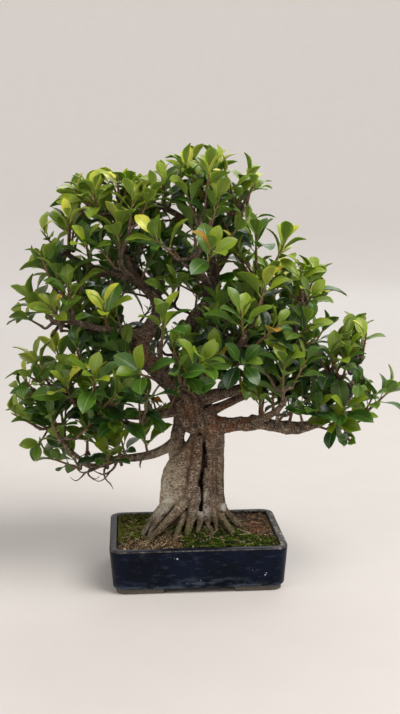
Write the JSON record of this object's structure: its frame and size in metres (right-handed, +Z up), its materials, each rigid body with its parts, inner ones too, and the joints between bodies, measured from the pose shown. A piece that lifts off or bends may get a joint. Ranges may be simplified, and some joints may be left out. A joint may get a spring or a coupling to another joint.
{
  "type": "bonsai tree in a pot",
  "caption": "Banyan bonsai with a lobed trunk, spreading roots and branches and glossy leafy sprays, growing in a low rectangular footed pot.",
  "frame": {"origin": "middle of the whole object's box in plan, at the height of the surface that the pot's feet stand on", "axes": "+X to the right and +Y to the back as seen from the tree's front, +Z up"},
  "size_m": [0.4638, 0.2978, 0.4975],
  "materials": {
    "glazed_pot": "dark blue gloss glaze",
    "screen": "matte",
    "soil": "loose moist grit",
    "moss": "soft and matte",
    "bark": "mottled grey-brown bark",
    "leaves": "glossy green"
  },
  "bodies": {
    "root": {"pot": "glazed_pot", "drain_screen_left": "screen", "drain_screen_right": "screen", "soil": "soil", "moss_back_left": "moss", "moss_front": "moss", "trunk": "bark", "spray_01": "leaves", "spray_02": "leaves", "spray_03": "leaves", "spray_04": "leaves", "spray_05": "leaves", "spray_06": "leaves", "spray_07": "leaves", "spray_08": "leaves", "spray_09": "leaves", "spray_10": "leaves", "spray_11": "leaves", "spray_12": "leaves", "spray_13": "leaves", "spray_14": "leaves", "spray_15": "leaves", "spray_16": "leaves", "spray_17": "leaves", "spray_18": "leaves", "spray_19": "leaves", "spray_20": "leaves", "spray_21": "leaves", "spray_22": "leaves", "spray_23": "leaves", "spray_24": "leaves", "spray_25": "leaves", "spray_26": "leaves", "spray_27": "leaves", "spray_28": "leaves", "spray_29": "leaves", "spray_30": "leaves", "spray_31": "leaves", "spray_32": "leaves", "spray_33": "leaves", "spray_34": "leaves", "spray_35": "leaves", "spray_36": "leaves", "spray_37": "leaves", "spray_38": "leaves", "spray_39": "leaves", "spray_40": "leaves", "spray_41": "leaves", "spray_42": "leaves", "spray_43": "leaves", "spray_44": "leaves", "spray_45": "leaves", "spray_46": "leaves", "spray_47": "leaves", "spray_48": "leaves", "spray_49": "leaves", "spray_50": "leaves"}
  },
  "joints": []
}
